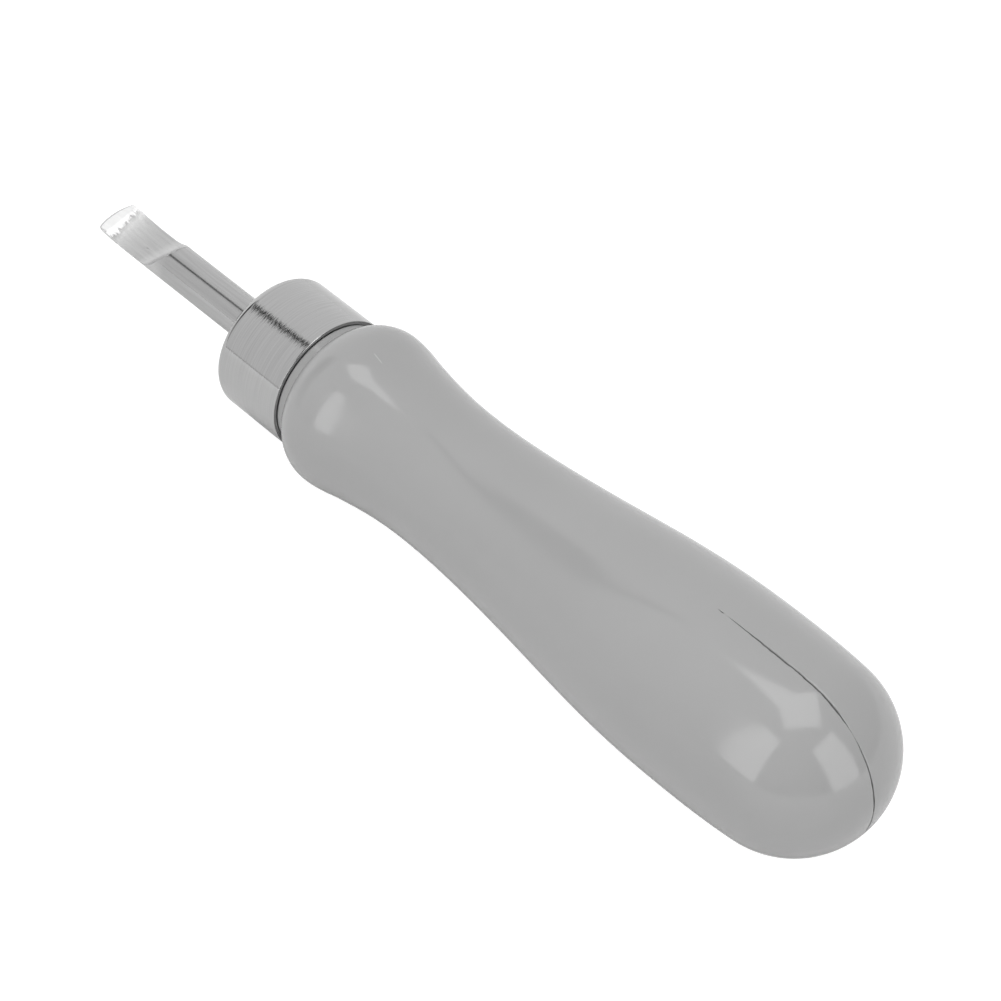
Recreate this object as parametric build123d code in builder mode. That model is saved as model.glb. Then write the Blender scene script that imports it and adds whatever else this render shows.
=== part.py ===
"""Case back opener: a fixed steel scraper blade in a plated ferrule and a two-part moulded handle.

Frame: the origin is on the tool's axis at the ferrule's front face, where the blade comes out.
+X points to the blade's edge and the handle's two halves meet on the XZ plane. The blade is
scooped on its upper side, +Z, and that ground end leans a little about X, towards +Y.
Lengths are in millimetres.
"""

import os
from math import acos, cos, degrees, radians, sin, sqrt, tan

from build123d import *

# Blade: a round steel rod, scooped on top and ground to a wedge below
ROD_R = 2.0
BLADE_REACH = 23.75
TANG_R = 1.8
TANG_LENGTH = 36.0
TANG_CHAMFER = 0.5
GRIND_LEAN = 12.0
SCOOP_START_X = 13.75
SCOOP_RAMP_ANGLE = 48.0
SCOOP_RAMP_R = 3.35
SCOOP_SKEW = 12.5
SCOOP_FLOOR_Z = -0.22
SCOOP_RISE_X = 17.8
BEVEL_X = 22.4
BEVEL_Z = 0.30
EDGE_TOP_Z = 0.19
EDGE_BOTTOM_Z = 0.0
WEDGE_START_X = 14.4
EDGE_PLAN_R = 5.0
EDGE_PLAN_Y = 0.4
EDGE_CORNER_R = 0.5

# Wings that the tang is coined out into, so that it can't turn or pull out
WING_CENTRE_X = -27.0
WING_LENGTH = 6.0
WING_WIDTH = 6.2
WING_THICKNESS = 2.0

# Ferrule: a drawn cap pushed over the handle's neck
FERRULE_R = 6.75
FERRULE_LENGTH = 8.4
FERRULE_WALL = 0.5
FERRULE_NOSE_R = 0.85
FERRULE_RIM_CHAMFER = 0.12

# Handle outline, as stations along the axis and radii
NECK_FRONT_X = -0.55
SPIGOT_R = 6.22
NECK_R = 6.38
NECK_STEP_X = -8.5
LIP_X = -9.55
LIP_R = 4.05
LIP_EDGE_R = 0.25
CREST_X = -12.48
CREST_R = 8.09
WAIST_STATIONS = [
    (-13.5, 8.02),
    (-14.5, 7.862),
    (-15.5, 7.648),
    (-17.0, 7.385),
    (-18.6, 7.145),
    (-21.5, 6.83),
    (-25.1, 6.71),
    (-30.0, 6.87),
    (-35.6, 7.32),
    (-40.0, 7.78),
    (-45.8, 8.45),
    (-51.0, 8.93),
]
BELLY_X = -58.1
BELLY_R = 9.17
BUTT_JOIN_X = -67.0
BUTT_CENTRE_X = -66.15
BUTT_R = 8.89
SEAM_FRONT_X = -56.9
SEAM_GROOVE_DEPTH = 0.12
SEAM_GROOVE_HALF_WIDTH = 0.06

# Handle inside: hollow chambers between ribs, with a bed for the tang
HANDLE_WALL = 2.0
RIB_THICKNESS = 1.4
FIT_GAP = 0.04
BED_FRONT = (-14.5, 0.0)
WING_BLOCK = (-31.6, -22.4)
THRUST_BLOCK = (-38.6, -TANG_LENGTH)
TANG_RIB_X = -18.45
BUTT_RIBS_X = (-47.5, -57.0, -66.0)

# Pegs on the right half that locate the left half while the glue sets
PEG_R = 0.9
PEG_LENGTH = 2.4
SOCKET_DEPTH = 2.7
BOSS_R = 2.1
NOSE_PEGS = [(-11.8, 4.9), (-11.8, -4.9)]
BOSS_PEGS = [(-47.5, 0.0), (-66.0, 0.0)]


def waist_curve(inset):
    """The handle's line from the front crest to the thickest place of the belly, moved in by inset."""
    crest = (CREST_X, CREST_R - inset)
    waist = [(x, r - inset) for x, r in WAIST_STATIONS]
    Spline(crest, *waist, (BELLY_X, BELLY_R - inset), tangents=[(-1, 0), (-1, 0)])


def butt_curve(inset):
    """The handle's line from the belly round to the butt's pole, moved in by inset."""
    radius = BUTT_R - inset
    offset_x = BUTT_JOIN_X - BUTT_CENTRE_X
    join_r = sqrt(radius**2 - offset_x**2)
    join_angle = degrees(acos(offset_x / radius))
    belly = (BELLY_X, BELLY_R - inset)
    Spline(belly, (BUTT_JOIN_X, join_r), tangents=[(-1, 0), (-join_r, offset_x)])
    CenterArc((BUTT_CENTRE_X, 0), radius, join_angle, 180 - join_angle)


def handle_outline():
    """Half of the handle's lengthwise section: spigot, neck, front lip, waist, belly and butt."""
    lip_drop = LIP_R - sqrt(LIP_R**2 - (LIP_X - CREST_X) ** 2)
    with BuildSketch(Plane.XZ) as outline:
        with BuildLine():
            Polyline(
                (BUTT_CENTRE_X - BUTT_R, 0),
                (NECK_FRONT_X, 0),
                (NECK_FRONT_X, SPIGOT_R),
                (NECK_STEP_X, SPIGOT_R),
                (NECK_STEP_X, NECK_R),
                (LIP_X, NECK_R),
                (LIP_X, CREST_R - lip_drop),
            )
            TangentArc((CREST_X, CREST_R), (LIP_X, CREST_R - lip_drop), tangent=(1, 0))
            waist_curve(0)
            butt_curve(0)
        make_face()
        lip_corner = outline.vertices().sort_by_distance((LIP_X, CREST_R - lip_drop))[0]
        fillet(lip_corner, LIP_EDGE_R)
    return outline.sketch


def chamber_outline():
    """Lengthwise section of the hollow that the crosswise ribs divide."""
    with BuildSketch(Plane.XZ) as chambers:
        with BuildLine():
            waist_curve(HANDLE_WALL)
            butt_curve(HANDLE_WALL)
            Polyline(
                (CREST_X, CREST_R - HANDLE_WALL),
                (CREST_X, 0),
                (BUTT_CENTRE_X - BUTT_R + HANDLE_WALL, 0),
            )
        make_face()
        for back_x, front_x in (BED_FRONT, WING_BLOCK, THRUST_BLOCK):
            with Locations(((back_x + front_x) / 2, 0)):
                Rectangle(front_x - back_x, 4 * BELLY_R, mode=Mode.SUBTRACT)
        with Locations(*[(x, 0) for x in (TANG_RIB_X, *BUTT_RIBS_X)]):
            Rectangle(RIB_THICKNESS, 4 * BELLY_R, mode=Mode.SUBTRACT)
    return chambers.sketch


def chamber_solid():
    """The hollow itself, parted by the crosswise ribs, the butt's lengthwise web and the peg bosses."""
    with BuildPart() as hollow:
        revolve(profiles=chamber_outline(), axis=Axis.X)
        with Locations((THRUST_BLOCK[0], 0, 0)):
            Box(
                BUTT_R * 5,
                BELLY_R * 2,
                RIB_THICKNESS,
                align=(Align.MAX, Align.CENTER, Align.CENTER),
                mode=Mode.SUBTRACT,
            )
        with BuildSketch(Plane.XZ):
            with Locations(*BOSS_PEGS):
                Circle(BOSS_R)
        extrude(amount=BELLY_R, both=True, mode=Mode.SUBTRACT)
    return hollow.part


def seam_outline():
    """A narrow band just inside the butt's line, above and below the axis."""
    pole_x = BUTT_CENTRE_X - BUTT_R
    with BuildSketch(Plane.XZ) as seam:
        with BuildLine():
            butt_curve(0)
            Line((pole_x, 0), (pole_x + SEAM_GROOVE_DEPTH, 0))
            butt_curve(SEAM_GROOVE_DEPTH)
            Polyline(
                (BELLY_X, BELLY_R - SEAM_GROOVE_DEPTH),
                (SEAM_FRONT_X, BELLY_R - SEAM_GROOVE_DEPTH),
                (SEAM_FRONT_X, BELLY_R),
                (BELLY_X, BELLY_R),
            )
        make_face()
        mirror(about=Plane.XZ)
    return seam.sketch


def moulded_half():
    """The +Y half of the handle, cut off at the parting plane, with its ribs and its bed for the tang."""
    gap_r = TANG_R + FIT_GAP
    with BuildPart() as half:
        revolve(profiles=handle_outline(), axis=Axis.X)
        add(chamber_solid(), mode=Mode.SUBTRACT)
        # Bed for the round tang and for its wings
        with Locations((-TANG_LENGTH / 2, 0, 0)):
            Cylinder(gap_r, TANG_LENGTH + 2 * FIT_GAP, rotation=(0, 90, 0), mode=Mode.SUBTRACT)
        with Locations((WING_CENTRE_X, 0, 0)):
            Box(
                WING_LENGTH + 2 * FIT_GAP,
                WING_THICKNESS + 2 * FIT_GAP,
                WING_WIDTH + 2 * FIT_GAP,
                mode=Mode.SUBTRACT,
            )
        split(bisect_by=Plane.XZ, keep=Keep.BOTTOM)
        # A fine groove shows where the halves meet round the butt
        extrude(seam_outline(), amount=SEAM_GROOVE_HALF_WIDTH, both=True, mode=Mode.SUBTRACT)
    return half.part


# --- Blade ---
clear = 2 * ROD_R
beyond_x = BLADE_REACH + clear
edge_centre_x = BLADE_REACH - EDGE_PLAN_R
edge_near_x = edge_centre_x + sqrt(EDGE_PLAN_R**2 - (ROD_R - EDGE_PLAN_Y) ** 2)
edge_far_x = edge_centre_x + sqrt(EDGE_PLAN_R**2 - (ROD_R + EDGE_PLAN_Y) ** 2)
grind_side = Plane.XZ.rotated((-GRIND_LEAN, 0, 0))
grind_top = Plane.XY.rotated((-GRIND_LEAN, 0, 0))
scoop_side_y = 1.02 * ROD_R


def scoop_outline(side_y):
    """Scoop, rising bed and end bevel at one side of the rod. The ramp runs askew across it."""
    slope = tan(radians(SCOOP_RAMP_ANGLE))
    start_x = SCOOP_START_X + side_y * tan(radians(SCOOP_SKEW))
    foot_z = SCOOP_FLOOR_Z + SCOOP_RAMP_R * (1 - cos(radians(SCOOP_RAMP_ANGLE)))
    foot = (start_x + (ROD_R - foot_z) / slope, foot_z)
    floor_start = (foot[0] + SCOOP_RAMP_R * sin(radians(SCOOP_RAMP_ANGLE)), SCOOP_FLOOR_Z)
    floor_end = (SCOOP_RISE_X, SCOOP_FLOOR_Z)
    with BuildSketch(grind_side.offset(-side_y)) as outline:
        with BuildLine():
            Polyline(
                (BEVEL_X, BEVEL_Z),
                (BLADE_REACH, EDGE_TOP_Z),
                (beyond_x, EDGE_TOP_Z),
                (beyond_x, clear),
                (start_x - (clear - ROD_R) / slope, clear),
                foot,
            )
            TangentArc(floor_start, foot, tangent=(-1, 0))
            Line(floor_start, floor_end)
            TangentArc(floor_end, (BEVEL_X, BEVEL_Z), tangent=(1, 0))
        make_face()
    return outline.sketch


with BuildPart() as blade:
    with Locations((BLADE_REACH / 2, 0, 0)):
        Cylinder(ROD_R, BLADE_REACH, rotation=(0, 90, 0))
    scoop_sides = [scoop_outline(-scoop_side_y), scoop_outline(scoop_side_y)]
    loft(sections=scoop_sides, ruled=True, mode=Mode.SUBTRACT)
    # Long wedge ground on the underside
    with BuildSketch(grind_side):
        with BuildLine():
            Polyline(
                (WEDGE_START_X, -ROD_R),
                (BLADE_REACH, EDGE_BOTTOM_Z),
                (beyond_x, EDGE_BOTTOM_Z),
                (beyond_x, -clear),
                (WEDGE_START_X, -clear),
                close=True,
            )
        make_face()
    extrude(amount=clear, both=True, mode=Mode.SUBTRACT)
    # The edge is rounded in plan, a little askew
    with BuildSketch(grind_top) as plan:
        with BuildLine():
            Polyline(
                (edge_near_x, ROD_R),
                (0, ROD_R),
                (0, -ROD_R),
                (edge_far_x, -ROD_R),
            )
            ThreePointArc(
                (edge_far_x, -ROD_R),
                (BLADE_REACH, EDGE_PLAN_Y),
                (edge_near_x, ROD_R),
            )
        make_face()
        fillet(plan.vertices().sort_by(Axis.X)[-2:], EDGE_CORNER_R)
    extrude(amount=clear, both=True, mode=Mode.INTERSECT)
    # The shank's shoulder stands on the ferrule, and the thinner tang goes through it
    with Locations((-TANG_LENGTH / 2, 0, 0)):
        Cylinder(TANG_R, TANG_LENGTH, rotation=(0, 90, 0))
    chamfer(blade.edges().sort_by(Axis.X)[0], TANG_CHAMFER)
    with Locations((WING_CENTRE_X, 0, 0)):
        Box(WING_LENGTH, WING_THICKNESS, WING_WIDTH)
blade.part.label = "blade"

# --- Ferrule ---
with BuildPart() as ferrule:
    with BuildSketch(Plane.YZ):
        Circle(FERRULE_R)
    extrude(amount=-FERRULE_LENGTH)
    fillet(ferrule.edges().sort_by(Axis.X)[-1], FERRULE_NOSE_R)
    chamfer(ferrule.edges().sort_by(Axis.X)[0], FERRULE_RIM_CHAMFER)
    with BuildSketch(Plane.YZ.offset(-FERRULE_WALL)):
        Circle(FERRULE_R - FERRULE_WALL)
    extrude(amount=-FERRULE_LENGTH, mode=Mode.SUBTRACT)
    with BuildSketch(Plane.YZ):
        Circle(TANG_R + FIT_GAP)
    extrude(amount=-FERRULE_LENGTH, mode=Mode.SUBTRACT)
ferrule.part.label = "ferrule"

# --- Handle halves ---
with BuildPart() as handle_half_left:
    add(moulded_half())
    with BuildSketch(Plane.XZ):
        with Locations(*NOSE_PEGS, *BOSS_PEGS):
            Circle(PEG_R + FIT_GAP)
    extrude(amount=-SOCKET_DEPTH, mode=Mode.SUBTRACT)
handle_half_left.part.label = "handle_half_left"

with BuildPart() as handle_half_right:
    add(mirror(moulded_half(), about=Plane.XZ))
    with BuildSketch(Plane.XZ):
        with Locations(*NOSE_PEGS, *BOSS_PEGS):
            Circle(PEG_R)
    extrude(amount=-PEG_LENGTH)
handle_half_right.part.label = "handle_half_right"

os.makedirs("parts", exist_ok=True)
export_step(blade.part, "parts/blade.step")
export_step(ferrule.part, "parts/ferrule.step")
export_step(handle_half_left.part, "parts/handle_half_left.step")
export_step(handle_half_right.part, "parts/handle_half_right.step")
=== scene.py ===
"""Looks of the case back opener: a scooped steel blade, a plated ferrule and a glossy grey handle."""

import math

import bmesh
import bpy
from mathutils import Matrix, Vector
from mathutils import noise as mathutils_noise


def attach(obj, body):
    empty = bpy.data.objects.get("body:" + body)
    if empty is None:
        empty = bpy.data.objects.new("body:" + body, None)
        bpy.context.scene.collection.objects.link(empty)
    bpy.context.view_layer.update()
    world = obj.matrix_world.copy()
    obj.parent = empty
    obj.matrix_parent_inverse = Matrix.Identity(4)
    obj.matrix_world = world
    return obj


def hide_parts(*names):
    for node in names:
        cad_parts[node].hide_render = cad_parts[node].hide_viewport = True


MM = 0.001

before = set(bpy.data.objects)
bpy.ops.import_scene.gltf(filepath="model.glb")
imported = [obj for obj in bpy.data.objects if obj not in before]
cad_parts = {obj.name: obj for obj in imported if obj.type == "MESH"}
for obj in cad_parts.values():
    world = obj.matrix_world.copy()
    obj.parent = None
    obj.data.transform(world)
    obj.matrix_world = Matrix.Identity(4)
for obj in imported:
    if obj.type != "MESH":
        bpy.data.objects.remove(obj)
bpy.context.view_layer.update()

# Camera: a long lens, halfway up and behind the tool's butt
CAMERA_TARGET = Vector((-29.38, -1.51, 0.0)) * MM
CAMERA_AZIMUTH = math.radians(226.92)
CAMERA_ELEVATION = math.radians(45.10)
CAMERA_ROLL = math.radians(0.85)
CAMERA_DISTANCE = 279.1 * MM
CAMERA_LENS = 115.1

# The tool lies on the belly and the front crest of its handle, so the floor slopes a little in its frame
FLOOR_SIZE = 1.4
BEYOND_SIZE = 12.0
BEYOND_DROP = 0.1 * MM

# The paper glows by a fixed share to the camera, and more and more with distance to everything else
FLOOR_GLOW = 0.72
FAR_GLOW, FAR_GLOW_FROM, FAR_GLOW_TO = 0.42, 0.12, 0.4

# Light tent round the table: its level, which rises along TENT_LEAN, and the dark frame of one panel
TENT_LEVEL = 0.63
TENT_LEAN = Vector((0.48, -0.07, 0.0))
FRAME_NORMAL = Vector((-0.75, 0.533, 0.394)).normalized()
FRAME_OFFSET = -0.0557
FRAME_THIN, FRAME_BROAD = 0.025, 0.42

# Softboxes: each one's azimuth, elevation, width, height (in metres) and turn (in degrees)
PANEL_RADIANCE, PANEL_DISTANCE = 2.4, 0.9
PANELS = {
    "top_panel": (-155, 86, 0.62, 0.62, 30),
    "left_panel": (87, 28.5, 0.42, 0.9, -3.5),
    "back_panel": (183, 23, 0.49, 0.88, 8),
}

# Blade, in millimetres: the shank and its ground end, which leans about X
SHANK_R = 2.0
GROUND_FROM_X = 13.3
GRIND_LEAN = math.radians(12.0)
SCOOP_START_X, SCOOP_RAMP, SCOOP_RAMP_R = 13.75, math.radians(48.0), 3.35
SCOOP_SKEW = math.tan(math.radians(12.5))
SCOOP_FLOOR, SCOOP_RISE_X = -0.22, 17.8
BEVEL_X, BEVEL_TOP, EDGE_TOP, EDGE_UNDER = 22.4, 0.30, 0.13, 0.0
EDGE_X, EDGE_PLAN_R, EDGE_PLAN_Y, EDGE_CORNER_R = 23.75, 5.0, 0.4, 0.5
PIT = (18.0, 0.52)
EDGE_CENTRE = Vector((EDGE_X - EDGE_PLAN_R, EDGE_PLAN_Y, 0.0)) * MM
WEDGE_START_X = 14.4
TANG_R, TANG_END_X = 1.8, -3.0

# Marks on the blade: where the ground part begins, where it pales, and the frosted stretch at the edge,
# whose near-white tone is partly painted highlight.
# The frost starts on a torn border, with painted shade along it, and stops short of the bare rim and of
# the sides
SCORED_FROM, SCORED_TO = 13.6, 15.0
PALE_FROM, PALE_TO = 18.0, 21.6
FROST_FROM, FROST_TO, FROST_SKEW, FROST_TEAR = 22.6, 23.0, 0.2, 1.8
# Band along the frost's torn border, which carries painted shade of the furrows
BORDER_FROM, BORDER_TO = 22.05, 22.55
RIM_INNER, RIM_OUTER, RIM_FROM, RIM_TO = 0.26, 0.14, 21.0, 21.8
SIDE_INNER, SIDE_OUTER = 0.20, 0.08

# Ferrule
FERRULE_R, FERRULE_LENGTH, FERRULE_WALL = 6.75, 8.4, 0.5
HOLE_R, HOLE_EDGE_R = 1.84, 0.10
NOSE_R, RIM_R = 0.85, 0.07
INNER_EDGE_R, INNER_CHAMFER = 0.1, 0.3

# Handle
SPIGOT_R, SPIGOT_FRONT_X = 6.2, -7.6
NECK_R, NECK_X, NECK_EDGE_R = 6.38, -8.47, 0.05
LIP_X, LIP_R, LIP_EDGE_R, LIP_FOOT_R = -9.55, 4.05, 0.25, 0.22
CREST = (-12.48, 8.09)
WAIST = [
    (-13.5, 8.02), (-14.5, 7.862), (-15.5, 7.648), (-17.0, 7.385), (-18.6, 7.145), (-21.5, 6.83),
    (-25.1, 6.71), (-30.0, 6.87), (-35.6, 7.32), (-40.0, 7.78), (-45.8, 8.45), (-51.0, 8.93),
]
BELLY = (-58.1, 9.17)
BUTT_JOIN_X, BUTT_CENTRE_X, BUTT_R = -67.0, -66.15, 8.89
SEAM_FRONT_X, SEAM_SHUT_X = -56.8, -71.9
SCRATCH_X, SCRATCH_Y, SCRATCH_SLANT, SCRATCH_LENGTH = -14.9, -0.11, -0.115, 1.4
PLASTIC_TONE = 0.306


def direction(azimuth, elevation):
    """Unit vector towards a place on the sky. Azimuth runs from +X to +Y, both in degrees."""
    a, e = math.radians(azimuth), math.radians(elevation)
    return Vector((math.cos(a) * math.cos(e), math.sin(a) * math.cos(e), math.sin(e)))


def make_camera():
    data = bpy.data.cameras.new("camera")
    data.lens = CAMERA_LENS
    data.sensor_width = 36.0
    data.clip_start = 0.01
    data.clip_end = 20.0
    camera = bpy.data.objects.new("camera", data)
    bpy.context.scene.collection.objects.link(camera)
    flat = math.cos(CAMERA_ELEVATION)
    back = Vector((
        math.sin(CAMERA_AZIMUTH) * flat,
        -math.cos(CAMERA_AZIMUTH) * flat,
        math.sin(CAMERA_ELEVATION),
    ))
    right = Vector((0, 0, 1)).cross(back).normalized()
    up = back.cross(right)
    tilted_right = right * math.cos(CAMERA_ROLL) + up * math.sin(CAMERA_ROLL)
    tilted_up = back.cross(tilted_right)
    turn = Matrix((tilted_right, tilted_up, back)).transposed().to_4x4()
    camera.matrix_world = Matrix.Translation(CAMERA_TARGET + back * CAMERA_DISTANCE) @ turn
    bpy.context.scene.camera = camera


# --- Node helpers -----------------------------------------------------------------------------

def node(tree, kind, inputs=None, **settings):
    """A shader node with its settings, and its inputs linked or set."""
    made = tree.nodes.new("ShaderNode" + kind)
    for name, value in settings.items():
        setattr(made, name, value)
    for name, value in (inputs or {}).items():
        socket = made.inputs[name]
        if isinstance(value, bpy.types.NodeSocket):
            tree.links.new(value, socket)
        else:
            socket.default_value = value
    return made


def maths(tree, operation, *values):
    return node(tree, "Math", dict(enumerate(values)), operation=operation).outputs[0]


def vector_maths(tree, operation, *values):
    """Both outputs of a vector node: Vector for a direction or a place, and Value for a number."""
    return node(tree, "VectorMath", dict(enumerate(values)), operation=operation).outputs


def noise(tree, vector, scale, detail=3.0, roughness=0.5):
    inputs = {"Vector": vector, "Scale": scale, "Detail": detail, "Roughness": roughness}
    return node(tree, "TexNoise", inputs).outputs["Fac"]


def stretched(tree, vector, x, y, z):
    """The coordinates scaled apart along the three axes."""
    return node(tree, "Mapping", {"Vector": vector, "Scale": (x, y, z)}).outputs[0]


def remap(tree, value, low, high, to_low, to_high):
    """The value's range from low to high turned into another one, and held at its ends."""
    inputs = {"Value": value, "From Min": low, "From Max": high, "To Min": to_low, "To Max": to_high}
    return node(tree, "MapRange", inputs, clamp=True).outputs[0]


def grey(tree, value):
    return node(tree, "CombineColor", {"Red": value, "Green": value, "Blue": value}).outputs[0]


def bump(tree, height, distance, normal=None):
    """A bump of this depth in metres, on top of another bump's normal if one is given."""
    inputs = {"Height": height, "Distance": distance, "Strength": 1.0}
    if normal is not None:
        inputs["Normal"] = normal
    return node(tree, "Bump", inputs).outputs[0]


def new_material(name):
    material = bpy.data.materials.new(name)
    material.use_nodes = True
    tree = material.node_tree
    shader = tree.nodes["Principled BSDF"]
    place = node(tree, "TexCoord").outputs["Object"]
    return material, tree, shader, place


# --- Materials --------------------------------------------------------------------------------

def plastic_material():
    """Glossy moulded plastic: mid grey, faintly mottled, with fine scuffs and a slow ripple."""
    material, tree, shader, place = new_material("handle_plastic")
    mottle = maths(tree, "MULTIPLY", noise(tree, place, 140.0, 3.0), 0.016)
    cloud = maths(tree, "MULTIPLY", noise(tree, place, 45.0, 2.0), 0.02)
    tone = maths(tree, "ADD", mottle, cloud)
    # One pale scratch on the top of the front bulge
    parts = node(tree, "SeparateXYZ", {0: place}).outputs
    along = maths(tree, "SUBTRACT", parts["X"], SCRATCH_X * MM)
    across = maths(tree, "SUBTRACT", parts["Y"], SCRATCH_Y * MM)
    on_line = maths(tree, "MULTIPLY_ADD", along, -SCRATCH_SLANT, across)
    fine = remap(tree, maths(tree, "ABSOLUTE", on_line), 0.02 * MM, 0.07 * MM, 1.0, 0.0)
    half_length = SCRATCH_LENGTH / 2 * MM
    within = remap(tree, maths(tree, "ABSOLUTE", along), 0.6 * half_length, half_length, 1.0, 0.0)
    above = remap(tree, parts["Z"], 0.0, MM, 0.0, 0.09)
    pale = maths(tree, "MULTIPLY", maths(tree, "MULTIPLY", fine, within), above)
    base = maths(tree, "ADD", maths(tree, "ADD", tone, PLASTIC_TONE), pale)
    tree.links.new(grey(tree, base), shader.inputs["Base Color"])
    scuffs = noise(tree, stretched(tree, place, 120.0, 900.0, 900.0), 1.0, 4.0, 0.6)
    tree.links.new(remap(tree, scuffs, 0.35, 0.75, 0.10, 0.17), shader.inputs["Roughness"])
    ripple_bump = bump(tree, noise(tree, place, 160.0, 1.0), 0.0030 * MM)
    wiped = noise(tree, stretched(tree, place, 60.0, 1400.0, 1400.0), 1.0, 3.0, 0.6)
    streaked = bump(tree, wiped, 0.0020 * MM, normal=ripple_bump)
    grain = bump(tree, noise(tree, place, 1600.0, 2.0), 0.0010 * MM, normal=streaked)
    tree.links.new(grain, shader.inputs["Normal"])
    shader.inputs["IOR"].default_value = 1.5
    return material


def plated_material():
    """Bright plating over turned steel, with fine lines round the axis."""
    material, tree, shader, place = new_material("plated_steel")
    tone = noise(tree, stretched(tree, place, 7000.0, 150.0, 150.0), 1.0, 3.0)
    tree.links.new(grey(tree, remap(tree, tone, 0.3, 0.7, 0.435, 0.485)), shader.inputs["Base Color"])
    lines = noise(tree, stretched(tree, place, 6500.0, 260.0, 260.0), 1.0, 3.0, 0.6)
    hatch = noise(tree, stretched(tree, place, 9000.0, 900.0, 900.0), 1.0, 2.0, 0.5)
    turned = bump(tree, lines, 0.0042 * MM)
    tree.links.new(bump(tree, hatch, 0.0008 * MM, normal=turned), shader.inputs["Normal"])
    tree.links.new(remap(tree, tone, 0.3, 0.7, 0.04, 0.07), shader.inputs["Roughness"])
    shader.inputs["Metallic"].default_value = 1.0
    return material


def steel_material():
    """Bright drawn steel, ground with fine lengthwise scratches, with a frosted bevel at the edge whose
    near-white tone is partly a painted highlight, and painted shade along the frost's torn border.
    """
    material, tree, shader, place = new_material("tool_steel")
    parts = node(tree, "SeparateXYZ", {0: place}).outputs
    tone = noise(tree, stretched(tree, place, 150.0, 2500.0, 2500.0), 1.0, 3.0)
    ground = remap(tree, parts["X"], SCORED_FROM * MM, SCORED_TO * MM, 0.0, 1.0)
    paler = remap(tree, parts["X"], PALE_FROM * MM, PALE_TO * MM, 0.0, 0.14)
    raised = maths(tree, "MULTIPLY_ADD", ground, 0.09, paler)
    plain = maths(tree, "ADD", remap(tree, tone, 0.3, 0.7, 0.41, 0.48), raised)
    # The stone's mark starts askew on a torn border, with dark teeth along it painted in as the furrows'
    # shade
    jagged = noise(tree, stretched(tree, place, 500.0, 2800.0, 2800.0), 1.0, 4.0, 0.8)
    askew = maths(tree, "MULTIPLY_ADD", parts["Y"], FROST_SKEW, parts["X"])
    reach = maths(tree, "MULTIPLY_ADD", jagged, FROST_TEAR * MM, askew)
    marked = remap(tree, reach, FROST_FROM * MM, FROST_TO * MM, 0.0, 1.0)
    nearby = remap(tree, reach, BORDER_FROM * MM, BORDER_TO * MM, 0.0, 1.0)
    outside = remap(tree, reach, FROST_FROM * MM, FROST_TO * MM, 1.0, 0.0)
    border = maths(tree, "MULTIPLY", nearby, outside)
    # Painted shade: dark teeth of the wheel's furrows along the border
    furrow_shade = maths(tree, "MULTIPLY", border, remap(tree, jagged, 0.40, 0.60, 0.45, 0.10))
    darker = maths(tree, "MULTIPLY", plain, maths(tree, "SUBTRACT", 1.0, furrow_shade))
    # The frost stops short of the cutting edge and of the sides
    from_centre = vector_maths(tree, "SUBTRACT", place, EDGE_CENTRE)["Vector"]
    flat = vector_maths(tree, "MULTIPLY", from_centre, (1, 1, 0))["Vector"]
    spread = vector_maths(tree, "LENGTH", flat)["Value"]
    rim_inner, rim_outer = (EDGE_PLAN_R - RIM_INNER) * MM, (EDGE_PLAN_R - RIM_OUTER) * MM
    within = remap(tree, spread, rim_inner, rim_outer, 1.0, 0.0)
    side_inner, side_outer = (SHANK_R - SIDE_INNER) * MM, (SHANK_R - SIDE_OUTER) * MM
    aside = remap(tree, maths(tree, "ABSOLUTE", parts["Y"]), side_inner, side_outer, 1.0, 0.0)
    frost_and_highlight = maths(tree, "MULTIPLY", marked, maths(tree, "MULTIPLY", within, aside))
    # Near-white tone of the frost: a rough frosted facet, and partly a painted highlight in place of a
    # bright panel's reflection
    frost_highlight_tone = remap(tree, tone, 0.3, 0.7, 0.79, 0.87)
    # Along the cutting edge, where the frost stops short, the steel is darkened by up to a quarter
    # towards the tip: a thin darker rim
    at_tip = remap(tree, parts["X"], RIM_FROM * MM, RIM_TO * MM, 0.0, 0.25)
    on_rim = maths(tree, "MULTIPLY", maths(tree, "SUBTRACT", 1.0, within), at_tip)
    rimmed = maths(tree, "MULTIPLY", darker, maths(tree, "SUBTRACT", 1.0, on_rim))
    mixed = node(tree, "Mix", {"Factor": frost_and_highlight, "A": rimmed, "B": frost_highlight_tone}).outputs[0]
    tree.links.new(grey(tree, mixed), shader.inputs["Base Color"])
    scratches = noise(tree, stretched(tree, place, 250.0, 5000.0, 5000.0), 1.0, 4.0, 0.6)
    depth = maths(tree, "MULTIPLY", scratches, remap(tree, ground, 0.0, 1.0, 0.15, 0.8))
    tree.links.new(bump(tree, depth, 0.003 * MM), shader.inputs["Normal"])
    fine = remap(tree, tone, 0.3, 0.7, 0.09, 0.13)
    worn = maths(tree, "MULTIPLY_ADD", ground, 0.12, fine)
    tree.links.new(maths(tree, "MULTIPLY_ADD", frost_and_highlight, 0.28, worn), shader.inputs["Roughness"])
    tree.links.new(maths(tree, "MULTIPLY_ADD", frost_and_highlight, -0.7, 1.0), shader.inputs["Metallic"])
    return material


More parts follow.
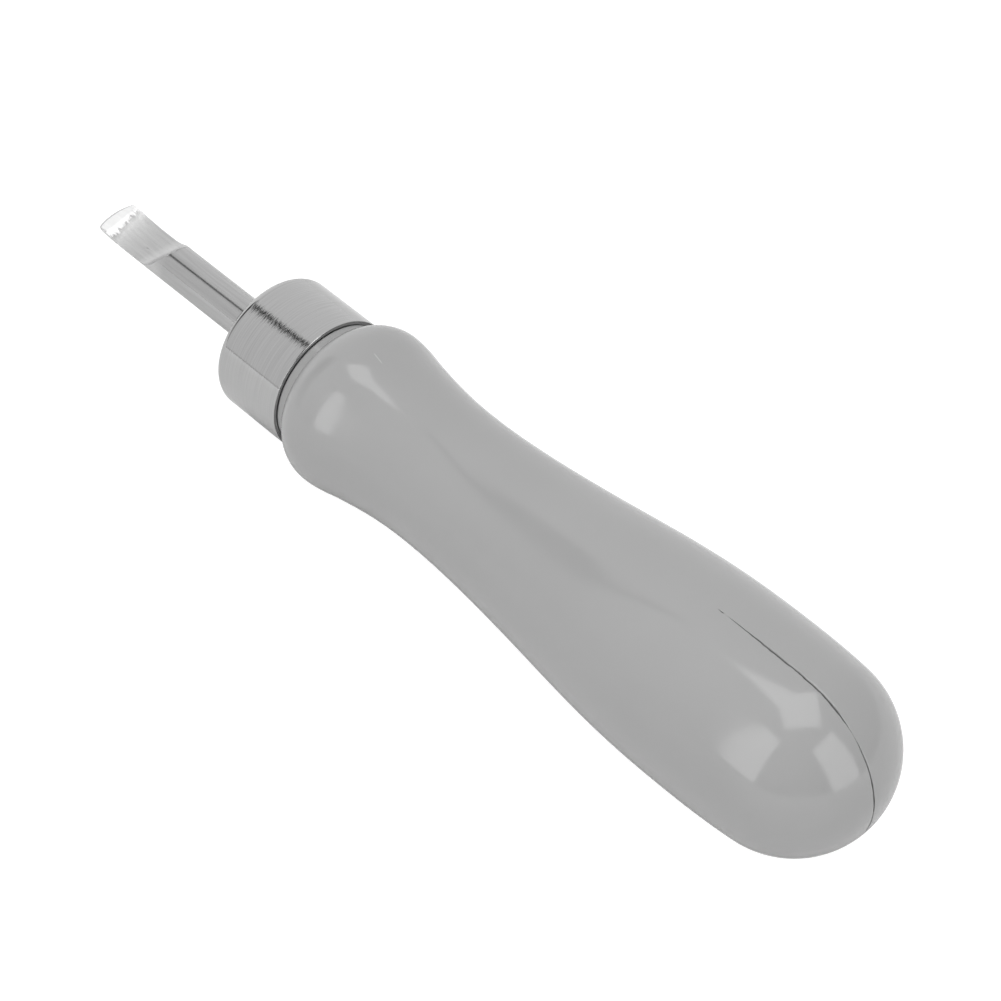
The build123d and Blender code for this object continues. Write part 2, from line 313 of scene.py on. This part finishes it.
def floor_material():
    """White paper on a light table, which the camera sees mostly by its own glow."""
    material, tree, shader, place = new_material("floor_paper")
    fibre = noise(tree, place, 900.0, 4.0)
    tree.links.new(grey(tree, remap(tree, fibre, 0.3, 0.7, 0.80, 0.82)), shader.inputs["Base Color"])
    shader.inputs["Roughness"].default_value = 0.9
    shader.inputs["Specular IOR Level"].default_value = 0.2
    glow = node(tree, "Emission", {"Strength": 1.3})
    seen = node(tree, "LightPath").outputs["Is Camera Ray"]
    away = vector_maths(tree, "LENGTH", place)["Value"]
    far = remap(tree, away, FAR_GLOW_FROM, FAR_GLOW_TO, 0.0, FAR_GLOW)
    share = maths(tree, "MAXIMUM", maths(tree, "MULTIPLY", seen, FLOOR_GLOW), far)
    mixed = node(tree, "MixShader", {0: share, 1: shader.outputs[0], 2: glow.outputs[0]})
    tree.links.new(mixed.outputs[0], tree.nodes["Material Output"].inputs["Surface"])
    return material


# --- Mesh helpers -----------------------------------------------------------------------------

def ripple(seed, *scaled):
    """Smooth noise from -1 to 1."""
    place = list(scaled) + [0.0] * (3 - len(scaled))
    return mathutils_noise.noise(Vector(place) + Vector((seed * 17.3, seed * 5.1, seed * 9.7)))


def grid_faces(rows, columns):
    """Quads between neighbouring rows of points, each row a closed ring."""
    faces = []
    for i in range(rows - 1):
        row, following = i * columns, (i + 1) * columns
        for j in range(columns):
            k = (j + 1) % columns
            faces.append((row + j, row + k, following + k, following + j))
    return faces


def make_piece(name, points, faces, material, node_name, sharp_angle=40.0):
    """A mesh in millimetres that stands for one CAD node."""
    mesh = bpy.data.meshes.new(name)
    mesh.from_pydata([Vector(p) * MM for p in points], [], faces)
    shape = bmesh.new()
    shape.from_mesh(mesh)
    bmesh.ops.remove_doubles(shape, verts=shape.verts, dist=1e-7)
    bmesh.ops.dissolve_degenerate(shape, edges=shape.edges, dist=1e-8)
    bmesh.ops.recalc_face_normals(shape, faces=shape.faces)
    shape.to_mesh(mesh)
    shape.free()
    mesh.polygons.foreach_set("use_smooth", [True] * len(mesh.polygons))
    mesh.set_sharp_from_angle(angle=math.radians(sharp_angle))
    mesh.materials.append(material)
    piece = bpy.data.objects.new(name, mesh)
    bpy.context.scene.collection.objects.link(piece)
    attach(piece, "root")
    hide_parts(node_name)
    return piece


def arc(centre, radius, start, end, steps):
    """Points on an arc in the lengthwise plane, with angles in degrees from +X towards +radius."""
    points = []
    for i in range(steps + 1):
        a = math.radians(start + (end - start) * i / steps)
        points.append((centre[0] + radius * math.cos(a), centre[1] + radius * math.sin(a)))
    return points


def between(start, end, steps):
    """Evenly spaced points on a line, without its first one."""
    return [
        (start[0] + (end[0] - start[0]) * i / steps, start[1] + (end[1] - start[1]) * i / steps)
        for i in range(1, steps + 1)
    ]


def clamped_spline(knots):
    """Slopes of a smooth curve through the knots that is level at both ends."""
    n = len(knots)
    slopes = [0.0] * n
    for _ in range(60):
        for i in range(1, n - 1):
            h0, h1 = knots[i][0] - knots[i - 1][0], knots[i + 1][0] - knots[i][0]
            rise0, rise1 = knots[i][1] - knots[i - 1][1], knots[i + 1][1] - knots[i][1]
            rise = 3 * (rise0 / h0**2 + rise1 / h1**2)
            slopes[i] = (rise - slopes[i - 1] / h0 - slopes[i + 1] / h1) / (2 / h0 + 2 / h1)
    return slopes


def hermite(p, q, slope_p, slope_q, x):
    """Height at x of the smooth curve from p to q with the slopes given at its ends."""
    h = q[0] - p[0]
    t = (x - p[0]) / h
    return (
        p[1] * (2 * t**3 - 3 * t**2 + 1)
        + q[1] * (3 * t**2 - 2 * t**3)
        + h * slope_p * (t**3 - 2 * t**2 + t)
        + h * slope_q * (t**3 - t**2)
    )


# --- Pieces -----------------------------------------------------------------------------------

def make_ferrule(material):
    """Drawn cap: pierced front, rounded nose, a skirt with the lathe's fine ridges, and a rolled rim."""
    rim_x = -FERRULE_LENGTH
    face_r = HOLE_R + HOLE_EDGE_R
    profile = [(-FERRULE_WALL, HOLE_R), (-HOLE_EDGE_R, HOLE_R)]
    profile += arc((-HOLE_EDGE_R, face_r), HOLE_EDGE_R, -90, 0, 4)[1:]
    profile += between((0, face_r), (0, FERRULE_R - NOSE_R), 24)
    profile += arc((-NOSE_R, FERRULE_R - NOSE_R), NOSE_R, 0, 90, 28)[1:]
    profile += between((-NOSE_R, FERRULE_R), (rim_x + RIM_R, FERRULE_R), 150)
    profile += arc((rim_x + RIM_R, FERRULE_R - RIM_R), RIM_R, 90, 180, 8)[1:]
    inner_r = FERRULE_R - FERRULE_WALL
    profile += arc((rim_x + INNER_EDGE_R, inner_r + INNER_EDGE_R), INNER_EDGE_R, 180, 270, 4)
    profile += [(-FERRULE_WALL - INNER_CHAMFER, inner_r), (-FERRULE_WALL, inner_r - INNER_CHAMFER)]
    columns = 256
    points = []
    for x, r in profile:
        on_skirt = r > FERRULE_R - 1e-6
        for j in range(columns):
            a = 2 * math.pi * j / columns
            low = 0.0
            if on_skirt:
                ridges = 0.0004 * (1 + ripple(1, x * 5.0, a * 0.8))
                knocks = 0.004 * (1 + ripple(2, x * 0.3, a * 1.5))
                low = ridges + knocks
            points.append((x, (r - low) * math.sin(a), (r - low) * math.cos(a)))
    faces = grid_faces(len(profile), columns)
    last = (len(profile) - 1) * columns
    faces += [(last + j, last + (j + 1) % columns, (j + 1) % columns, j) for j in range(columns)]
    return make_piece("ferrule_cap", points, faces, material, "ferrule")


def scoop_height(x, y=0.0):
    """Top of the ground end above the axis, in its leaning frame. The ramp runs askew."""
    x -= y * SCOOP_SKEW * min(max((SCOOP_RISE_X - x) / 0.6, 0.0), 1.0)
    slope = math.tan(SCOOP_RAMP)
    foot_z = SCOOP_FLOOR + SCOOP_RAMP_R * (1 - math.cos(SCOOP_RAMP))
    foot_x = SCOOP_START_X + (SHANK_R - foot_z) / slope
    floor_x = foot_x + SCOOP_RAMP_R * math.sin(SCOOP_RAMP)
    if x < foot_x:
        return SHANK_R - (x - SCOOP_START_X) * slope
    if x < floor_x:
        return SCOOP_FLOOR + SCOOP_RAMP_R - math.sqrt(SCOOP_RAMP_R**2 - (floor_x - x) ** 2)
    if x < SCOOP_RISE_X:
        return SCOOP_FLOOR
    rise, run = BEVEL_TOP - SCOOP_FLOOR, BEVEL_X - SCOOP_RISE_X
    rise_r = (rise**2 + run**2) / (2 * rise)
    return SCOOP_FLOOR + rise_r - math.sqrt(rise_r**2 - (x - SCOOP_RISE_X) ** 2)


def edge_x(y):
    """Where the rounded cutting edge lies, at y from the middle. Its arc runs a little askew."""
    side = 1 if y > EDGE_PLAN_Y else -1
    arc_x, reach = EDGE_X - EDGE_PLAN_R, EDGE_PLAN_R - EDGE_CORNER_R
    corner_y = side * (SHANK_R - EDGE_CORNER_R)
    off_y = corner_y - EDGE_PLAN_Y
    if abs(y - EDGE_PLAN_Y) <= abs(off_y) * EDGE_PLAN_R / reach:
        return arc_x + math.sqrt(EDGE_PLAN_R**2 - (y - EDGE_PLAN_Y) ** 2)
    corner_x = arc_x + math.sqrt(reach**2 - off_y**2)
    return corner_x + math.sqrt(max(EDGE_CORNER_R**2 - (y - corner_y) ** 2, 0.0))


def bevel_height(x):
    """Top of the short bevel behind the cutting edge, which cuts nothing further back."""
    if x < BEVEL_X - 1.4:
        return SHANK_R
    return BEVEL_TOP - (x - BEVEL_X) * (BEVEL_TOP - EDGE_TOP) / (EDGE_X - BEVEL_X)


def section_corner(x, side):
    """Angle on the rod where the scooped top ends, on one side."""
    angle = 0.5
    for _ in range(12):
        height = min(scoop_height(x, side * SHANK_R * math.cos(angle)), SHANK_R * 0.99999)
        angle = math.asin(min(height, bevel_height(x)) / SHANK_R)
    return angle


def ground_section(x, share):
    """One closed section of the ground end. Share runs from 0 behind the tip to 1 at the edge."""
    under = -SHANK_R + max(x - WEDGE_START_X, 0.0) * (EDGE_UNDER + SHANK_R) / (EDGE_X - WEDGE_START_X)
    low_angle = math.asin(min(-under / SHANK_R, 1.0))
    corners = {side: section_corner(x, side) for side in (-1, 1)}
    section = []
    # Across the scooped top, with the wheel's lengthwise furrows and one small pit
    steps = 72
    left, right = -SHANK_R * math.cos(corners[-1]), SHANK_R * math.cos(corners[1])
    worn = min(max((x - 14.6) / 2, 0.0), 1.0)
    for i in range(steps + 1):
        y = left + (right - left) * i / steps
        furrow = 0.005 * ripple(3, y * 2.4, x * 0.15) + 0.002 * ripple(4, y * 8.0, x * 0.3)
        bed = scoop_height(x, y) + (furrow - 0.007) * worn
        pit = 0.035 * math.exp(-((x - PIT[0]) ** 2 + (y - PIT[1]) ** 2) / 0.09**2)
        tooth = 0.14 * ripple(5, y * 1.8) + 0.10 * y
        worn_tip = 0.03 * max(x - EDGE_X + 0.25, 0.0) / 0.25
        z = min(bed - pit, bevel_height(x + tooth) - worn_tip, math.sqrt(max(SHANK_R**2 - y**2, 0.0)))
        section.append((y, z))
    side_steps = 30
    for i in range(1, side_steps):
        a = corners[1] + (-low_angle - corners[1]) * i / side_steps
        section.append((SHANK_R * math.cos(a), SHANK_R * math.sin(a)))
    low_steps, low_half = 20, SHANK_R * math.cos(low_angle)
    for i in range(low_steps + 1):
        section.append((low_half * (1 - 2 * i / low_steps), under))
    for i in range(side_steps - 1, 0, -1):
        a = corners[-1] + (-low_angle - corners[-1]) * i / side_steps
        section.append((-SHANK_R * math.cos(a), SHANK_R * math.sin(a)))
    # Near the tip the stations bend to follow the rounded edge
    bent = []
    for y, z in section:
        shift = (edge_x(y) - EDGE_X) * share
        lean_y = y * math.cos(GRIND_LEAN) + z * math.sin(GRIND_LEAN)
        lean_z = z * math.cos(GRIND_LEAN) - y * math.sin(GRIND_LEAN)
        bent.append((min(x, EDGE_X) + shift, lean_y, lean_z))
    return bent


def make_blade(material):
    """Round shank with the tang's stub, and the ground end with its scoop, wedge and rounded edge."""
    stations = []
    x = GROUND_FROM_X
    while x < EDGE_X - 0.9:
        stations.append((x, 0.0))
        x += 0.05 if x < 17.5 or x > 21.6 else 0.12
    start = stations[-1][0]
    steps = 24
    for i in range(1, steps + 1):
        share = i / steps
        stations.append((start + (EDGE_X - start) * share, share))
    sections = [ground_section(x, share**1.5) for x, share in stations]
    columns = len(sections[0])
    points = [p for section in sections for p in section]
    faces = grid_faces(len(sections), columns)
    last = (len(sections) - 1) * columns
    faces.append(tuple(range(last, last + columns)))
    # Round shank and tang stub behind it, on the same columns
    base = len(points)
    first = sections[0]
    rear = [(x, SHANK_R) for x in (13.0, 10.0, 7.0, 4.0, 2.0, 0.5, 0.12)]
    rear += [(0.0, SHANK_R - 0.12), (0.0, TANG_R), (TANG_END_X, TANG_R)]
    for rear_x, radius in rear:
        for _, y, z in first:
            points.append((rear_x, radius * y / SHANK_R, radius * z / SHANK_R))
    faces += [
        tuple(base + k if k < columns * len(rear) else k for k in face)
        for face in grid_faces(len(rear), columns)
    ]
    for j in range(columns):
        k = (j + 1) % columns
        faces.append((j, k, base + k, base + j))
    tail = base + (len(rear) - 1) * columns
    faces.append(tuple(tail + j for j in range(columns)))
    return make_piece("blade_steel", points, faces, material, "blade", 25.0)


def handle_profile():
    """Stations of the handle's outline from the neck, under the ferrule, to the butt's pole."""
    profile = [(SPIGOT_FRONT_X, SPIGOT_R), (NECK_X, SPIGOT_R)]
    profile += arc((NECK_X - NECK_EDGE_R, NECK_R - NECK_EDGE_R), NECK_EDGE_R, 0, 90, 4)
    foot = (LIP_X + LIP_FOOT_R, NECK_R - 0.12)
    profile += between((NECK_X - NECK_EDGE_R, NECK_R), foot, 10)
    profile += arc((foot[0], foot[1] + LIP_FOOT_R), LIP_FOOT_R, 270, 180, 8)[1:]
    # The lip's edge is rounded between its face and the arc up to the crest
    lip_centre = (CREST[0], CREST[1] - LIP_R)
    edge_reach = LIP_R - LIP_EDGE_R
    round_x = LIP_X - LIP_EDGE_R
    round_r = lip_centre[1] + math.sqrt(edge_reach**2 - (round_x - lip_centre[0]) ** 2)
    meet = math.degrees(math.atan2(round_r - lip_centre[1], round_x - lip_centre[0]))
    profile += arc((round_x, round_r), LIP_EDGE_R, 0, meet, 8)
    profile += arc(lip_centre, LIP_R, meet, 90, 22)[1:]
    knots = [CREST] + WAIST + [BELLY]
    slopes = clamped_spline(knots)
    for i in range(len(knots) - 1):
        p, q = knots[i], knots[i + 1]
        steps = max(int(abs(q[0] - p[0]) / 0.25), 4)
        for k in range(1, steps + 1):
            x = p[0] + (q[0] - p[0]) * k / steps
            profile.append((x, hermite(p, q, slopes[i], slopes[i + 1], x)))
    join_r = math.sqrt(BUTT_R**2 - (BUTT_JOIN_X - BUTT_CENTRE_X) ** 2)
    join_slope = -(BUTT_JOIN_X - BUTT_CENTRE_X) / join_r
    for k in range(1, 51):
        x = BELLY[0] + (BUTT_JOIN_X - BELLY[0]) * k / 50
        profile.append((x, hermite(BELLY, (BUTT_JOIN_X, join_r), 0.0, join_slope, x)))
    join_angle = math.degrees(math.acos((BUTT_JOIN_X - BUTT_CENTRE_X) / BUTT_R))
    profile += arc((BUTT_CENTRE_X, 0.0), BUTT_R, join_angle, 179.7, 130)[1:]
    return profile


def seam_gap(x, side):
    """Width of half the groove along the seam: nothing ahead of the belly."""
    if x > SEAM_FRONT_X:
        return 0.0
    opened = min(max(SEAM_FRONT_X - 1.1 - x, 0.0) / 5.0, 1.0)
    # Pressed nearly shut where the moulding gate was trimmed
    shut = 1 - 0.85 * math.exp(-((x - SEAM_SHUT_X) / 1.3) ** 2)
    uneven = 0.85 + 0.3 * ripple(7 + side, x * 0.7) + 0.35 * ripple(9 + side, x * 2.6)
    dimple = 0.09 * math.exp(-((x - SEAM_FRONT_X + 0.45) / 0.2) ** 2)
    furrow_shade = 0.10 * max(ripple(15, x * 5.0), 0.0) * min(max(-73.2 - x, 0.0) / 0.5, 1.0)
    return 0.135 * opened**0.6 * shut * max(uneven, 0.1) + dimple + furrow_shade


def moulded_sink(x, y, z):
    """How far the moulded surface lies under its true outline, as it shrinks unevenly."""
    around = math.atan2(y, z)
    slow = ripple(13, x * 0.10, 1.1 * math.sin(around), 1.1 * math.cos(around))
    return 0.010 * (1 + slow) * min(abs(x - LIP_X) / 3, 1.0)


def make_half(name, side, material, node_name):
    """One moulded half. Side is 1 for the half on +Y and -1 for the other."""
    across = 110
    # Rounded lip of the groove, as shares of the gap along Y and drops in millimetres
    lip = [(0.5, 0.50), (0.5, 0.25), (0.6, 0.06), (0.85, 0.015), (1.6, 0.0)]
    points = []
    profile = handle_profile()
    for x, r in profile:
        wander = 0.035 * ripple(11, x * 0.8) + 0.015 * ripple(12, x * 3.0)
        wander *= min(max((SEAM_FRONT_X - x) / 6.0, 0.0), 1.0)
        edges = []
        for end in (1, -1):
            gap = seam_gap(x, end + (0.3 if side > 0 else 0.0))
            open_share = min(gap / 0.03, 1.0)
            own = []
            for share, drop in lip:
                y = side * gap * share + wander
                radius = max(r - moulded_sink(x, y, end * r) - drop * open_share, 0.02)
                y = max(min(y, radius), -radius)
                own.append((x, y, end * math.sqrt(max(radius**2 - y**2, 0.0))))
            edges.append(own)
        start = math.atan2(side * edges[0][-1][1], edges[0][-1][2])
        stop = math.atan2(side * edges[1][-1][1], edges[1][-1][2]) % (2 * math.pi)
        points += edges[0]
        for j in range(1, across):
            # Columns crowd towards the seam, so the two halves meet without a crease
            share = 0.5 - 0.5 * math.cos(math.pi * j / across)
            a = start + (stop - start) * share
            y, z = side * math.sin(a), math.cos(a)
            radius = r - moulded_sink(x, y, z)
            points.append((x, radius * y, radius * z))
        points += reversed(edges[1])
    columns = across - 1 + 2 * len(lip)
    faces = grid_faces(len(profile), columns)
    faces.append(tuple(range(columns)))
    last = (len(profile) - 1) * columns
    faces.append(tuple(range(last, last + columns)))
    return make_piece(name, points, faces, material, node_name, 50.0)


# --- Stage ------------------------------------------------------------------------------------

def lay_sheet(name, size, drop, material):
    """A square sheet of the floor, tilted so that the tool lies on it along the butt's belly."""
    slope = math.atan2(BELLY[1] - CREST[1], CREST[0] - BELLY[0])
    mesh = bpy.data.meshes.new(name)
    shape = bmesh.new()
    bmesh.ops.create_grid(shape, x_segments=8, y_segments=8, size=size / 2)
    shape.to_mesh(mesh)
    shape.free()
    sheet = bpy.data.objects.new(name, mesh)
    bpy.context.scene.collection.objects.link(sheet)
    touch = Vector((BELLY[0] * MM, 0, -BELLY[1] * MM))
    tilt = Matrix.Rotation(-slope, 4, "Y")
    sheet.matrix_world = Matrix.Translation(touch) @ tilt @ Matrix.Translation((0, 0, -drop))
    mesh.materials.append(material)
    return sheet


def make_floor():
    """The table's paper, which the tool lies on."""
    paper = floor_material()
    lay_sheet("floor", FLOOR_SIZE, 0.0, paper)
    # A wider sheet just below carries the white on behind the table's edge, and lights nothing
    beyond = lay_sheet("floor_beyond", BEYOND_SIZE, BEYOND_DROP, paper)
    beyond.visible_diffuse = False
    beyond.visible_glossy = False
    beyond.visible_transmission = False
    beyond.visible_shadow = False


def add_light(name, azimuth, elevation, width, height, turn):
    """A softbox that faces the tool."""
    data = bpy.data.lights.new(name, "AREA")
    data.shape = "RECTANGLE"
    data.size = width
    data.size_y = height
    data.energy = PANEL_RADIANCE * width * height * math.pi
    light = bpy.data.objects.new(name, data)
    bpy.context.scene.collection.objects.link(light)
    towards = direction(azimuth, elevation)
    centre = Vector((-30 * MM, 0, 0))
    place = Matrix.Translation(centre + towards * PANEL_DISTANCE)
    facing = towards.to_track_quat("Z", "Y").to_matrix().to_4x4()
    light.matrix_world = place @ facing @ Matrix.Rotation(math.radians(turn), 4, "Z")
    light.visible_camera = False


def make_world():
    """The light tent, as it shines from each direction."""
    world = bpy.data.worlds.new("studio")
    bpy.context.scene.world = world
    world.use_nodes = True
    tree = world.node_tree
    background = tree.nodes["Background"]
    background.inputs["Color"].default_value = (1, 1, 1, 1)
    ray = node(tree, "TexCoord").outputs["Generated"]
    parts = node(tree, "SeparateXYZ", {0: ray}).outputs
    # Dark frame round one panel of the light tent: a thin side, a broad far end and a faint other side
    off = vector_maths(tree, "DOT_PRODUCT", ray, FRAME_NORMAL)["Value"]
    off = maths(tree, "SUBTRACT", off, FRAME_OFFSET)
    breadth = remap(tree, parts["X"], 0.64, 0.70, FRAME_THIN, FRAME_BROAD)
    beyond = maths(tree, "MAXIMUM", maths(tree, "MULTIPLY", off, -1.0), 0.0)
    outside = maths(tree, "DIVIDE", beyond, breadth)
    inside = maths(tree, "DIVIDE", maths(tree, "MAXIMUM", off, 0.0), FRAME_THIN)
    on_frame = remap(tree, maths(tree, "ADD", outside, inside), 0.7, 1.3, 1.0, 0.0)
    fade = remap(tree, parts["Y"], 0.25, 0.78, 1.0, 0.08)
    start = remap(tree, parts["Y"], -0.06, 0.02, 0.0, 1.0)
    ahead = remap(tree, parts["X"], 0.3, 0.45, 0.0, 1.0)
    kept = maths(tree, "MULTIPLY", start, ahead)
    bar = maths(tree, "MULTIPLY", maths(tree, "MULTIPLY", on_frame, fade), kept)
    # A darker hem where one side of the tent meets the table
    low = remap(tree, parts["Z"], 0.012, 0.045, 0.3, 0.0)
    hem = maths(tree, "MULTIPLY", low, remap(tree, parts["Y"], 0.4, 0.55, 0.0, 1.0))
    dark = maths(tree, "MAXIMUM", bar, hem)
    # The tent is lighter towards the tip
    lean = vector_maths(tree, "DOT_PRODUCT", ray, TENT_LEAN)["Value"]
    tent = maths(tree, "ADD", lean, TENT_LEVEL)
    shaded = maths(tree, "MULTIPLY", tent, maths(tree, "SUBTRACT", 1.0, dark))
    tree.links.new(shaded, background.inputs["Strength"])


make_camera()
make_floor()
make_world()
for panel, place in PANELS.items():
    add_light(panel, *place)

plastic = plastic_material()
make_ferrule(plated_material())
make_blade(steel_material())
make_half("handle_shell_left", 1, plastic, "handle_half_left")
make_half("handle_shell_right", -1, plastic, "handle_half_right")

bpy.context.scene.view_settings.view_transform = "Standard"
